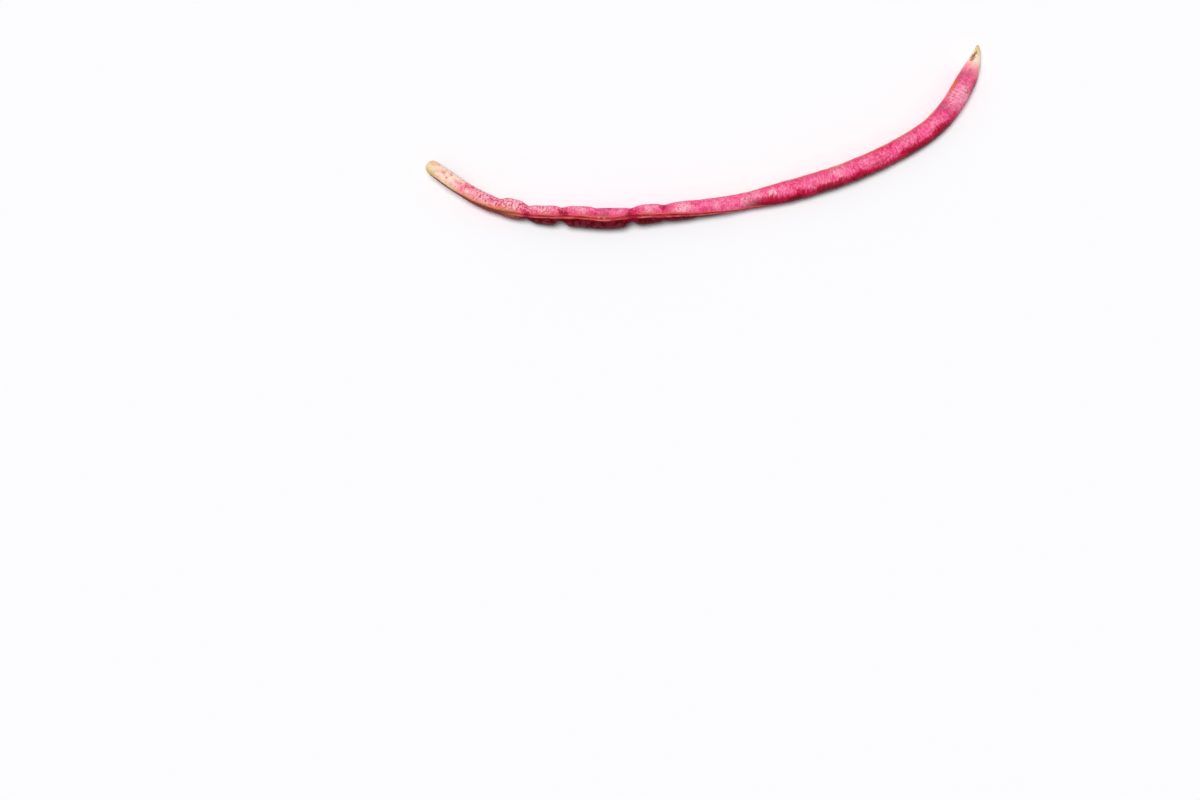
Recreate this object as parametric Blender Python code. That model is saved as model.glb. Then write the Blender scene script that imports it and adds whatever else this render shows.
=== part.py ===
"""Red noodle bean: one whole pod of a yardlong bean, as picked, lying on a flat surface.

Metres, +Z up. The pod lies along X, its stem end at -X and its beak at +X, and both ends sweep
towards +Y. The origin is on the surface, under the middle of the pod's bounding box.

A bean pod is two valves joined along two seams: the placental seam is a double ridge with a
groove between, and the back seam is a single fine keel. The pod twists a quarter turn from end
to end, so each seam comes into view in its turn. The seeds sit one behind another in chambers,
and the valves swell over the seeds and pinch in between them.
"""

import bmesh
import bpy
import numpy as np
from mathutils import Vector

# Driving dimensions. A station is a distance along the pod from its stem end.
POD_LENGTH = 0.344
SEED_PITCH = 0.0185

# Which way the pod points at each station, in degrees from +X towards +Y.
HEADING = (
    (0.000, -36.0),
    (0.015, -34.5),
    (0.027, -31.0),
    (0.040, -22.0),
    (0.053, -10.3),
    (0.075, -5.0),
    (0.100, 0.5),
    (0.125, 5.0),
    (0.150, 7.8),
    (0.180, 11.3),
    (0.210, 14.9),
    (0.235, 20.0),
    (0.260, 26.0),
    (0.282, 32.5),
    (0.296, 44.5),
    (0.310, 57.0),
    (0.325, 64.8),
    (0.336, 71.5),
    (0.344, 85.0),
)

# How far the pod's underside is above the surface. It dips a little below where three seeds
# press on the surface, and is cut flat there. The stem end and the beak lift clear.
CLEARANCE = (
    (0.000, 0.0040),
    (0.030, 0.0012),
    (0.053, -0.00015),
    (0.085, 0.0006),
    (0.118, 0.0009),
    (0.150, 0.0005),
    (0.183, -0.00015),
    (0.235, 0.0008),
    (0.294, -0.00015),
    (0.322, 0.0022),
    (0.344, 0.0062),
)

# How far the placental seam is turned from straight up towards -Y, in degrees.
SEAM_TURN = (
    (0.000, 70.0),
    (0.013, 66.0),
    (0.025, 54.0),
    (0.038, 38.0),
    (0.051, 25.0),
    (0.064, 18.0),
    (0.074, 10.0),
    (0.087, 2.0),
    (0.103, 15.0),
    (0.118, 5.0),
    (0.128, 10.0),
    (0.142, 24.0),
    (0.153, 38.0),
    (0.164, 51.0),
    (0.182, 76.0),
    (0.205, 97.0),
    (0.225, 107.0),
    (0.300, 108.0),
    (0.330, 114.0),
    (0.344, 120.0),
)

# Half the pod's depth, from one seam to the other.
HALF_DEPTH = (
    (0.000, 0.0031),
    (0.001, 0.0037),
    (0.004, 0.0041),
    (0.010, 0.0042),
    (0.040, 0.0044),
    (0.060, 0.0047),
    (0.100, 0.0050),
    (0.150, 0.0046),
    (0.180, 0.0046),
    (0.205, 0.0057),
    (0.240, 0.0058),
    (0.285, 0.0058),
    (0.315, 0.0060),
    (0.324, 0.0057),
    (0.332, 0.0046),
    (0.338, 0.0030),
    (0.342, 0.0016),
    (0.344, 0.0006),
)

# How far each valve swells over a seed, from the plane of the seams. The upper valve faces +Y
# where the placental seam is on top.
UPPER_SWELL = (
    (0.000, 0.0030),
    (0.001, 0.0035),
    (0.004, 0.0039),
    (0.010, 0.0041),
    (0.042, 0.0050),
    (0.050, 0.0067),
    (0.056, 0.0064),
    (0.066, 0.0050),
    (0.074, 0.0056),
    (0.090, 0.0062),
    (0.103, 0.0053),
    (0.112, 0.0049),
    (0.126, 0.0060),
    (0.138, 0.0055),
    (0.147, 0.0056),
    (0.165, 0.0050),
    (0.180, 0.0044),
    (0.210, 0.0048),
    (0.300, 0.0050),
    (0.316, 0.0047),
    (0.328, 0.0037),
    (0.338, 0.0021),
    (0.342, 0.0013),
    (0.344, 0.0005),
)
LOWER_SWELL = (
    (0.000, 0.0030),
    (0.001, 0.0035),
    (0.004, 0.0039),
    (0.010, 0.0041),
    (0.040, 0.0043),
    (0.055, 0.0046),
    (0.072, 0.0056),
    (0.086, 0.0056),
    (0.106, 0.0067),
    (0.128, 0.0051),
    (0.150, 0.0051),
    (0.180, 0.0044),
    (0.210, 0.0048),
    (0.300, 0.0050),
    (0.316, 0.0047),
    (0.328, 0.0037),
    (0.338, 0.0021),
    (0.342, 0.0013),
    (0.344, 0.0005),
)

# Where the valves pinch in between seeds, and how deep the upper and the lower one do. Towards
# the beak the seeds are still small, and faint pinches follow at the seeds' pitch.
DEEP_PINCHES = (
    (0.0432, 0.0008, 0.0006),
    (0.0602, 0.0020, 0.0017),
    (0.0789, 0.0009, 0.0030),
    (0.0987, 0.0005, 0.0000),
    (0.1176, 0.0007, 0.0024),
    (0.1361, 0.0008, 0.0009),
    (0.1546, 0.0005, 0.0005),
)
FAINT_PINCH_DEPTH = 0.0003
FAINT_PINCH_COUNT = 9
PINCH_WIDTH = 0.0031
PINCH_FOCUS = 1.5

# The ridges along the seams. They die out at both ends of the pod.
DOUBLE_RIDGE_HEIGHT = 0.00028
DOUBLE_RIDGE_OFFSET = 0.00090
DOUBLE_RIDGE_WIDTH = 0.00045
KEEL_HEIGHT = 0.00028
KEEL_WIDTH = 0.00050
RIDGE_FADE = 0.010

# The scar where the stalk broke off: a rim round a shallow hollow.
SCAR_RIM = 0.70
SCAR_DEPTH = 0.0005

# Mesh density: where a seed chamber's rings are, closer together at its pinches, the rings at
# the blunt stem end and the beak, and the angles of half a ring's points, in degrees from the
# placental seam, closer together at both seams.
CHAMBER_RINGS = (0.00, 0.09, 0.20, 0.34, 0.50, 0.66, 0.80, 0.91)
CHAMBERS_BEFORE_FIRST_PINCH = 2
CHAMBERS_AFTER_LAST_PINCH = 2
STEM_RINGS = (0.0000, 0.0010, 0.0025, 0.0045)
BEAK_RINGS = (0.3400, 0.3415, 0.3427, 0.3435)
HALF_RING = (5, 10, 16, 26, 40, 56, 73, 90, 107, 124, 140, 154, 166, 173)
AXIS_SAMPLES = 800

POD_COLOUR = (0.60, 0.06, 0.16, 1.0)
POD_ROUGHNESS = 0.45


def smooth_through(table, station):
    """A table's value at each station, on a smooth curve that doesn't overshoot its points."""
    x, y = np.array(table).T
    slope = np.diff(y) / np.diff(x)
    before, after = slope[:-1], slope[1:]
    tangent = np.concatenate([slope[:1], np.zeros(len(x) - 2), slope[-1:]])
    same_way = before * after > 0
    tangent[1:-1][same_way] = (2 * before * after)[same_way] / (before + after)[same_way]
    k = np.clip(np.searchsorted(x, station, side="right") - 1, 0, len(x) - 2)
    width = x[k + 1] - x[k]
    t = (station - x[k]) / width
    return (
        (2 * t**3 - 3 * t**2 + 1) * y[k]
        + (t**3 - 2 * t**2 + t) * width * tangent[k]
        + (3 * t**2 - 2 * t**3) * y[k + 1]
        + (t**3 - t**2) * width * tangent[k + 1]
    )


def bump(distance, width):
    """A smooth bump, 1 at its middle."""
    return np.exp(-((distance / width) ** 2))


def axis_height(station):
    """How high the pod's axis runs, so that its underside keeps the stated clearance."""
    turn = np.radians(smooth_through(SEAM_TURN, station))
    depth = smooth_through(HALF_DEPTH, station)
    swell = smooth_through(LOWER_SWELL, station)
    reach_down = np.hypot(depth * np.cos(turn), swell * np.sin(turn))
    return reach_down + smooth_through(CLEARANCE, station)


def pod_axis(station):
    """The axis's centres, and its forward, left and up directions, at each station."""
    fine = np.linspace(0.0, POD_LENGTH, AXIS_SAMPLES)
    heading = np.radians(smooth_through(HEADING, fine))
    plan = np.stack([np.cos(heading), np.sin(heading)])
    steps = (plan[:, 1:] + plan[:, :-1]) / 2 * np.diff(fine)
    travel = np.concatenate([np.zeros((2, 1)), np.cumsum(steps, axis=1)], axis=1)
    height = axis_height(fine)
    climb = np.interp(station, fine, np.gradient(height, fine))

    centre = np.stack([np.interp(station, fine, row) for row in (*travel, height)], axis=-1)
    heading = np.radians(smooth_through(HEADING, station))
    forward = np.stack([np.cos(heading), np.sin(heading), climb], axis=-1)
    forward /= np.linalg.norm(forward, axis=-1, keepdims=True)
    left = np.stack([-np.sin(heading), np.cos(heading), np.zeros_like(heading)], axis=-1)
    return centre, forward, left, np.cross(forward, left)


def pinches():
    """Each pinch's station, and its depth in the upper and the lower valve, as three rows."""
    deep = np.array(DEEP_PINCHES).T
    faint = np.full((3, FAINT_PINCH_COUNT), FAINT_PINCH_DEPTH)
    faint[0] = deep[0, -1] + SEED_PITCH * np.arange(1, FAINT_PINCH_COUNT + 1)
    return np.concatenate([deep, faint], axis=1)


def pinch_depths(station):
    """How far the upper and the lower valve are pinched in at each station."""
    places, upper, lower = pinches()
    folds = bump(station[:, None] - places, PINCH_WIDTH)
    return folds @ upper, folds @ lower


def seam_relief(station, angle, sideways):
    """How far the skin stands out along the two seams: a double ridge, and a keel."""
    fade = np.clip(np.minimum(station, POD_LENGTH - station) / RIDGE_FADE, 0.0, 1.0)
    off_ridge = np.abs(sideways) - DOUBLE_RIDGE_OFFSET
    double_ridge = DOUBLE_RIDGE_HEIGHT * bump(off_ridge, DOUBLE_RIDGE_WIDTH)
    keel = -KEEL_HEIGHT * bump(sideways, KEEL_WIDTH)
    return fade[:, None] * np.where(np.cos(angle) > 0, double_ridge, keel)


def skin_rings(station, angle):
    """The skin's points: a row for each station, a column for each angle round the axis.

    Angle 0 is the placental seam, a quarter turn is the upper valve, half is the back seam.
    """
    centre, _, left, up = pod_axis(station)
    turn = np.radians(smooth_through(SEAM_TURN, station))[:, None]
    to_seam = up * np.cos(turn) - left * np.sin(turn)
    to_upper_valve = left * np.cos(turn) + up * np.sin(turn)

    upper_pinch, lower_pinch = pinch_depths(station)
    upper_swell = smooth_through(UPPER_SWELL, station)
    lower_swell = smooth_through(LOWER_SWELL, station)
    on_upper = np.sin(angle) > 0
    swell = np.where(on_upper, upper_swell[:, None], lower_swell[:, None])
    pinch = np.where(on_upper, upper_pinch[:, None], lower_pinch[:, None])
    swell = swell - pinch * np.abs(np.sin(angle)) ** PINCH_FOCUS

    sideways = swell * np.sin(angle)
    depth = smooth_through(HALF_DEPTH, station)[:, None] * np.cos(angle)
    depth = depth + seam_relief(station, angle, sideways)
    return (
        centre[:, None]
        + to_seam[:, None] * depth[..., None]
        + to_upper_valve[:, None] * sideways[..., None]
    )


def ring_stations():
    """Where the rings are: a chamber's pattern for each seed, from the blunt end to the beak."""
    places = pinches()[0]
    to_blunt_end = places[0] - SEED_PITCH * np.arange(CHAMBERS_BEFORE_FIRST_PINCH, 0, -1)
    to_beak = places[-1] + SEED_PITCH * np.arange(1, CHAMBERS_AFTER_LAST_PINCH + 1)
    chambers = np.concatenate([to_blunt_end, places, to_beak])
    rings = chambers[:-1, None] + np.diff(chambers)[:, None] * np.array(CHAMBER_RINGS)
    between = rings[(rings > STEM_RINGS[-1]) & (rings < BEAK_RINGS[0])]
    return np.concatenate([STEM_RINGS, between, BEAK_RINGS, [POD_LENGTH]])


def add_rings(bm, points):
    """Make each row of points a ring of vertices, and bridge neighbouring rings with faces."""
    rings = [[bm.verts.new(point) for point in row] for row in points]
    for ring, following in zip(rings, rings[1:]):
        for i in range(len(ring)):
            bm.faces.new((ring[i - 1], ring[i], following[i], following[i - 1]))
    return rings


def close_stem_end(bm, rim, forward):
    """Close the stem end with its scar: a flat rim round a shallow hollow."""
    face = bm.faces.new(rim)
    middle = face.calc_center_median()
    bmesh.ops.inset_individual(bm, faces=[face], thickness=0.0)
    for vert in face.verts:
        vert.co = middle + SCAR_RIM * (vert.co - middle)
    hollow = bmesh.ops.poke(bm, faces=[face])["verts"][0]
    hollow.co += SCAR_DEPTH * forward


def cut_resting_spots(bm):
    """Cut the skin flat where it would dip below the surface, and close the three cuts."""
    everything = bm.verts[:] + bm.edges[:] + bm.faces[:]
    cut = bmesh.ops.bisect_plane(
        bm, geom=everything, plane_co=(0, 0, 0), plane_no=(0, 0, 1), clear_inner=True
    )
    cut_edges = [item for item in cut["geom_cut"] if isinstance(item, bmesh.types.BMEdge)]
    bmesh.ops.holes_fill(bm, edges=cut_edges, sides=0)


def pod_material():
    """A waxy, deep pink skin."""
    material = bpy.data.materials.new("pod_skin")
    material.use_nodes = True
    principled = material.node_tree.nodes["Principled BSDF"]
    principled.inputs["Base Color"].default_value = POD_COLOUR
    principled.inputs["Roughness"].default_value = POD_ROUGHNESS
    principled.inputs["Metallic"].default_value = 0.0
    return material


def make_pod():
    """The whole pod, one closed skin."""
    right_half = np.radians(HALF_RING)
    angle = np.concatenate([[0.0], right_half, [np.pi], 2 * np.pi - right_half[::-1]])
    station = ring_stations()
    points = skin_rings(station, angle)
    lowest, highest = points.min(axis=(0, 1)), points.max(axis=(0, 1))
    middle = (lowest + highest) / 2
    middle[2] = 0.0

    bm = bmesh.new()
    rings = add_rings(bm, points - middle)
    bm.faces.new(rings[-1])
    _, forward, _, _ = pod_axis(station[:1])
    close_stem_end(bm, rings[0], Vector(forward[0]))
    cut_resting_spots(bm)
    bmesh.ops.recalc_face_normals(bm, faces=bm.faces)

    mesh = bpy.data.meshes.new("pod")
    bm.to_mesh(mesh)
    bm.free()
    mesh.materials.append(pod_material())
    mesh.shade_smooth()
    pod = bpy.data.objects.new("pod", mesh)
    bpy.context.scene.collection.objects.link(pod)
    return pod


for old in list(bpy.data.objects):
    bpy.data.objects.remove(old)
make_pod()
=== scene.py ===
"""A red noodle bean, one whole pod as picked, lying on a pale table and seen from straight above."""

from types import SimpleNamespace

import bmesh
import bpy
import numpy as np
from mathutils import Color, Matrix, Vector


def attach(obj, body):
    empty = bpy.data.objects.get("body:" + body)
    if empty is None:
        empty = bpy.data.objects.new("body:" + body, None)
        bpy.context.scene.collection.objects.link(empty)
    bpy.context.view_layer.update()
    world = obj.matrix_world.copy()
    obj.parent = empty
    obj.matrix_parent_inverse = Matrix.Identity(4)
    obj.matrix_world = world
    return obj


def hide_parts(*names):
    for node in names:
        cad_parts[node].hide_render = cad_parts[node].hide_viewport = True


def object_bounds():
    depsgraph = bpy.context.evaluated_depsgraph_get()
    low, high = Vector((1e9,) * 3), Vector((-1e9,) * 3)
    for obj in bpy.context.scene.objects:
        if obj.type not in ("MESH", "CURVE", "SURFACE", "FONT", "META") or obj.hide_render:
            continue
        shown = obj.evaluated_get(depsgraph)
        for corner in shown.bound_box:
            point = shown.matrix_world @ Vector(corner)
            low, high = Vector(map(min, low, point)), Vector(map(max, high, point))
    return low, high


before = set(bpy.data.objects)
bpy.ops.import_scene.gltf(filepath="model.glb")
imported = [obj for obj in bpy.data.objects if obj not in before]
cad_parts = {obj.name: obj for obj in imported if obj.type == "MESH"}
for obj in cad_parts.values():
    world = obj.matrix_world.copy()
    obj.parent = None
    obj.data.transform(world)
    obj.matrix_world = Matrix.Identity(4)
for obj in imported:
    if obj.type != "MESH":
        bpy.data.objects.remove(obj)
cad_low, cad_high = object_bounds()


# The camera. The pod was photographed from straight above, small in the upper right of the
# picture. Its seeds, about 18.5 mm apart, set how much table one picture point covers.

METRES_PER_POINT = 0.00055
PICTURE_SIZE = Vector((1200, 800))
PICTURE_POINT_OF_ORIGIN = Vector((703.3, 137.6))
POD_MID_HEIGHT = 0.005
LENS = 50.0
SENSOR_WIDTH = 36.0


def table_place(picture_point):
    """What a picture point shows, at the height of the middle of the pod."""
    offset = (picture_point - PICTURE_POINT_OF_ORIGIN) * METRES_PER_POINT
    return Vector((offset.x, -offset.y, POD_MID_HEIGHT))


camera_distance = PICTURE_SIZE.x * METRES_PER_POINT * LENS / SENSOR_WIDTH
camera_data = bpy.data.cameras.new("camera")
camera_data.lens = LENS
camera_data.sensor_width = SENSOR_WIDTH
camera = bpy.data.objects.new("camera", camera_data)
camera.location = table_place(PICTURE_SIZE / 2) + Vector((0, 0, camera_distance))
bpy.context.scene.collection.objects.link(camera)
bpy.context.scene.camera = camera


# The pod. Two fleshy valves grow joined along two seams: the placental seam, a double ridge with
# a groove between, and the back seam, a fine keel. The waxy skin swells over each seed, pinches
# in between, and wrinkles finely across. Towards its beak the pod twists by a third of a turn.

POD_LENGTH = 0.344
SEED_PITCH = 0.0185

# Each table gives a value at stations, which are distances along the pod from its stem end.
# Which way the pod points, in degrees from +X towards +Y.
HEADING = (
    (0.000, -36.0),
    (0.015, -34.5),
    (0.027, -31.0),
    (0.040, -22.0),
    (0.053, -10.3),
    (0.075, -5.0),
    (0.100, 0.5),
    (0.125, 5.0),
    (0.150, 7.8),
    (0.180, 11.3),
    (0.210, 14.9),
    (0.235, 20.0),
    (0.260, 26.0),
    (0.282, 32.5),
    (0.296, 44.5),
    (0.310, 57.0),
    (0.325, 64.8),
    (0.336, 71.5),
    (0.344, 85.0),
)

# How far the underside is above the table. Below it, the soft skin is pressed flat.
CLEARANCE = (
    (0.000, 0.0040),
    (0.030, 0.0012),
    (0.053, -0.00015),
    (0.085, 0.0006),
    (0.118, 0.0009),
    (0.150, 0.0005),
    (0.183, -0.00015),
    (0.235, 0.0008),
    (0.294, -0.00015),
    (0.322, 0.0022),
    (0.344, 0.0062),
)

# How far the placental seam is turned from straight up towards -Y, in degrees.
SEAM_TURN = (
    (0.000, 70.0),
    (0.013, 66.0),
    (0.025, 54.0),
    (0.038, 38.0),
    (0.051, 25.0),
    (0.064, 18.0),
    (0.074, 10.0),
    (0.087, 2.0),
    (0.103, 15.0),
    (0.118, 5.0),
    (0.128, 10.0),
    (0.142, 24.0),
    (0.153, 38.0),
    (0.164, 51.0),
    (0.182, 76.0),
    (0.205, 97.0),
    (0.225, 107.0),
    (0.300, 108.0),
    (0.330, 114.0),
    (0.344, 120.0),
)

# Half the depth from seam to seam, and how far each valve swells from the plane of the seams.
HALF_DEPTH = (
    (0.000, 0.0031),
    (0.001, 0.0037),
    (0.004, 0.0041),
    (0.010, 0.0042),
    (0.040, 0.0044),
    (0.060, 0.0047),
    (0.100, 0.0050),
    (0.150, 0.0046),
    (0.180, 0.0046),
    (0.205, 0.0057),
    (0.240, 0.0058),
    (0.285, 0.0058),
    (0.315, 0.0060),
    (0.324, 0.0057),
    (0.332, 0.0046),
    (0.338, 0.0030),
    (0.342, 0.0016),
    (0.344, 0.0006),
)
UPPER_SWELL = (
    (0.000, 0.0030),
    (0.001, 0.0035),
    (0.004, 0.0039),
    (0.010, 0.0041),
    (0.042, 0.0050),
    (0.050, 0.0067),
    (0.056, 0.0064),
    (0.066, 0.0050),
    (0.074, 0.0056),
    (0.090, 0.0062),
    (0.103, 0.0053),
    (0.112, 0.0049),
    (0.126, 0.0060),
    (0.138, 0.0055),
    (0.147, 0.0056),
    (0.165, 0.0050),
    (0.180, 0.0044),
    (0.210, 0.0048),
    (0.300, 0.0050),
    (0.316, 0.0047),
    (0.328, 0.0037),
    (0.338, 0.0021),
    (0.342, 0.0013),
    (0.344, 0.0005),
)
LOWER_SWELL = (
    (0.000, 0.0030),
    (0.001, 0.0035),
    (0.004, 0.0039),
    (0.010, 0.0041),
    (0.040, 0.0043),
    (0.055, 0.0046),
    (0.072, 0.0056),
    (0.086, 0.0056),
    (0.106, 0.0067),
    (0.128, 0.0051),
    (0.150, 0.0051),
    (0.180, 0.0044),
    (0.210, 0.0048),
    (0.300, 0.0050),
    (0.316, 0.0047),
    (0.328, 0.0037),
    (0.338, 0.0021),
    (0.342, 0.0013),
    (0.344, 0.0005),
)

# Where the valves pinch in between seeds, and how deep the upper and the lower one do. Towards
# the beak the seeds are still small, and faint pinches follow at the seeds' pitch.
DEEP_PINCHES = (
    (0.0432, 0.0008, 0.0006),
    (0.0602, 0.0020, 0.0017),
    (0.0789, 0.0009, 0.0030),
    (0.0987, 0.0005, 0.0000),
    (0.1176, 0.0007, 0.0024),
    (0.1361, 0.0008, 0.0009),
    (0.1546, 0.0005, 0.0005),
)
FAINT_PINCH_DEPTH = 0.0003
FAINT_PINCH_COUNT = 9
PINCH_WIDTH = 0.0031

# The skin is creased for this far on either side of a pinch, and fully where the two valves
# together pinch in this deep. The fold at the bottom of a crease is narrower.
CREASE_WIDTH = 0.0024
FULL_CREASE_DEPTH = 0.0026
FOLD_WIDTH = 0.0011

# The seams' ridges fade out this far from either end.
RIDGE_FADE = 0.010

# The rings of skin: over the stalk's scar, along the pod, and over the beak's tip. A ring at an
# end has a share of the end's radius, and a distance that it stands out along the pod.
SKIN_RINGS = 1300
RING_POINTS = 72
SCAR_RINGS = (
    (0.00, -0.00050),
    (0.15, -0.00049),
    (0.35, -0.00042),
    (0.52, -0.00024),
    (0.66, -0.00006),
    (0.80, 0.00002),
    (0.92, 0.00002),
)
TIP_RINGS = (
    (0.85, 0.00012),
    (0.60, 0.00026),
    (0.30, 0.00035),
    (0.00, 0.00038),
)
AXIS_SAMPLES = 800

# Nothing reaches below the table, and nothing is nearly this far off sideways.
TABLE_LIMIT = (-1.0, -1.0, 0.0)

# What the pod's tree is given, with lengths in metres, and wrinkles and lumps counted in a metre.
# A ring's points crowd towards the seams, and pinches deepen away from them.
POD_SIZES = {
    "Ring Points": RING_POINTS,
    "Seam Crowding": 0.5,
    "Pinch Focus": 1.5,
    "Fold Depth": 0.00008,
    "Double Ridge Height": 0.00030,
    "Double Ridge Offset": 0.00090,
    "Double Ridge Width": 0.00040,
    "Keel Height": 0.00028,
    "Keel Width": 0.00040,
    "Pattern Radius": 0.0050,
    "Wrinkle Depth": 0.00030,
    "Wrinkles Along": 800.0,
    "Wrinkles Around": 130.0,
    "Lump Depth": 0.00070,
    "Lumps Per Metre": 110.0,
    "Relief Detail": 2.0,
    "Weld Distance": 0.000001,
}


def smooth_through(table, station):
    """A table's value at each station, on a smooth curve that doesn't overshoot its points."""
    x, y = np.array(table).T
    slope = np.diff(y) / np.diff(x)
    before, after = slope[:-1], slope[1:]
    tangent = np.concatenate([slope[:1], np.zeros(len(x) - 2), slope[-1:]])
    same_way = before * after > 0
    tangent[1:-1][same_way] = (2 * before * after)[same_way] / (before + after)[same_way]
    k = np.clip(np.searchsorted(x, station, side="right") - 1, 0, len(x) - 2)
    width = x[k + 1] - x[k]
    t = (station - x[k]) / width
    return (
        (2 * t**3 - 3 * t**2 + 1) * y[k]
        + (t**3 - 2 * t**2 + t) * width * tangent[k]
        + (3 * t**2 - 2 * t**3) * y[k + 1]
        + (t**3 - t**2) * width * tangent[k + 1]
    )


def pod_axis(station):
    """The axis's centres, and its forward, left and up directions, at each station."""
    fine = np.linspace(0.0, POD_LENGTH, AXIS_SAMPLES)
    heading = np.radians(smooth_through(HEADING, fine))
    plan = np.stack([np.cos(heading), np.sin(heading)])
    steps = (plan[:, 1:] + plan[:, :-1]) / 2 * np.diff(fine)
    travel = np.concatenate([np.zeros((2, 1)), np.cumsum(steps, axis=1)], axis=1)
    turn = np.radians(smooth_through(SEAM_TURN, fine))
    depth, swell = smooth_through(HALF_DEPTH, fine), smooth_through(LOWER_SWELL, fine)
    reach_down = np.hypot(depth * np.cos(turn), swell * np.sin(turn))
    height = reach_down + smooth_through(CLEARANCE, fine)
    climb = np.interp(station, fine, np.gradient(height, fine))

    centre = np.stack([np.interp(station, fine, row) for row in (*travel, height)], axis=-1)
    heading = np.radians(smooth_through(HEADING, station))
    forward = np.stack([np.cos(heading), np.sin(heading), climb], axis=-1)
    forward /= np.linalg.norm(forward, axis=-1, keepdims=True)
    left = np.stack([-np.sin(heading), np.cos(heading), np.zeros_like(heading)], axis=-1)
    return centre, forward, left, np.cross(forward, left)


def pinches():
    """Each pinch's station, and its depth in the upper and the lower valve, as three rows."""
    deep = np.array(DEEP_PINCHES).T
    faint = np.full((3, FAINT_PINCH_COUNT), FAINT_PINCH_DEPTH)
    faint[0] = deep[0, -1] + SEED_PITCH * np.arange(1, FAINT_PINCH_COUNT + 1)
    return np.concatenate([deep, faint], axis=1)


def at_pinches(station, width, heights):
    """A smooth bump of each height at each pinch, added up at every station."""
    places = pinches()[0]
    return np.exp(-(((station[:, None] - places) / width) ** 2)) @ heights


def pod_spine():
    """The pod's axis as a chain of points, each with the sizes and directions of its ring."""
    scar_share, scar_out = np.array(SCAR_RINGS).T
    tip_share, tip_out = np.array(TIP_RINGS).T
    body = np.linspace(0.0, POD_LENGTH, SKIN_RINGS)
    station = np.concatenate([0 * scar_share, body, 0 * tip_share + POD_LENGTH])
    share = np.concatenate([scar_share, np.ones(SKIN_RINGS), tip_share])
    forward_by = np.concatenate([-scar_out, np.zeros(SKIN_RINGS), tip_out])

    centre, forward, left, up = pod_axis(station)
    centre += forward * forward_by[:, None]
    turn = np.radians(smooth_through(SEAM_TURN, station))[:, None]
    places, upper_depth, lower_depth = pinches()
    creases = np.minimum((upper_depth + lower_depth) / FULL_CREASE_DEPTH, 1.0)
    chambers = np.interp(station, places, np.arange(len(places)))
    to_nearest_end = np.minimum(station, POD_LENGTH - station)
    values = {
        "station": station,
        "ring_share": share,
        "half_depth": smooth_through(HALF_DEPTH, station) * share,
        "upper_swell": smooth_through(UPPER_SWELL, station) * share,
        "lower_swell": smooth_through(LOWER_SWELL, station) * share,
        "upper_pinch": at_pinches(station, PINCH_WIDTH, upper_depth),
        "lower_pinch": at_pinches(station, PINCH_WIDTH, lower_depth),
        "fold": at_pinches(station, FOLD_WIDTH, creases),
        "creased": at_pinches(station, CREASE_WIDTH, creases),
        "over_seed": 0.5 - 0.5 * np.cos(2 * np.pi * chambers),
        "ridge_fade": np.clip(to_nearest_end / RIDGE_FADE, 0, 1),
    }
    directions = {
        "centre": centre,
        "to_seam": up * np.cos(turn) - left * np.sin(turn),
        "to_upper_valve": left * np.cos(turn) + up * np.sin(turn),
    }

    mesh = bpy.data.meshes.new("pod_spine")
    links = [(i, i + 1) for i in range(len(station) - 1)]
    mesh.from_pydata(centre.tolist(), links, [])
    for name, value in values.items():
        mesh.attributes.new(name, "FLOAT", "POINT").data.foreach_set("value", value)
    for name, value in directions.items():
        kept = mesh.attributes.new(name, "FLOAT_VECTOR", "POINT")
        kept.data.foreach_set("vector", value.ravel())
    return mesh


class Wire:
    """A value on its way between the nodes of a tree. Arithmetic on it adds Math nodes."""

    def __init__(self, tree, socket):
        self.tree = tree
        self.socket = socket

    def maths(self, operation, *others):
        """This value and the others, put through one Math node."""
        node = self.tree.nodes.new("ShaderNodeMath")
        node.operation = operation
        for entry, value in zip(node.inputs, (self, *others)):
            join(entry, value)
        return Wire(self.tree, node.outputs["Value"])

    def __add__(self, other):
        return self.maths("ADD", other)

    def __sub__(self, other):
        return self.maths("SUBTRACT", other)

    def __mul__(self, other):
        return self.maths("MULTIPLY", other)

    def __truediv__(self, other):
        return self.maths("DIVIDE", other)

    def __abs__(self):
        return self.maths("ABSOLUTE")

    def __neg__(self):
        return self.maths("MULTIPLY", -1.0)

    def between(self, where_none, where_full):
        """A mask as a value between two others: the first where it is 0, the second at 1."""
        return self.maths("MULTIPLY_ADD", where_full - where_none, where_none)

    def rest(self):
        """One less this value, which turns a mask inside out."""
        return self.between(1.0, 0.0)

    def swing(self, width):
        """A pattern from 0 to 1 as a shift either way, this wide in all."""
        return (self - 0.5) * width

    def bump(self, width):
        """A smooth bump of this width, 1 where this value is 0."""
        share = self / width
        return (-(share * share)).maths("EXPONENT")

    def rise(self, start, end):
        """0 up to the start, smoothly up to 1 at the end. The end may be below the start."""
        node = self.tree.nodes.new("ShaderNodeMapRange")
        node.interpolation_type = "SMOOTHSTEP"
        join(node.inputs["Value"], self)
        join(node.inputs["From Min"], start)
        join(node.inputs["From Max"], end)
        return Wire(self.tree, node.outputs["Result"])

    def within(self, start, full, still_full, end):
        """0 up to the start, 1 while it is full, and 0 again from the end."""
        return self.rise(start, full) * self.rise(end, still_full)


def join(entry, value):
    """Connect a wire to a node's entry, or set the entry to a plain value."""
    if isinstance(value, Wire):
        value.tree.links.new(value.socket, entry)
    else:
        entry.default_value = value


def add(tree, kind, inputs, output, **settings):
    """Add a node with these settings and inputs, and give one of its outputs."""
    node = tree.nodes.new(kind)
    for name, value in settings.items():
        setattr(node, name, value)
    for name, value in inputs.items():
        join(node.inputs[name], value)
    return Wire(tree, node.outputs[output])


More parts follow.
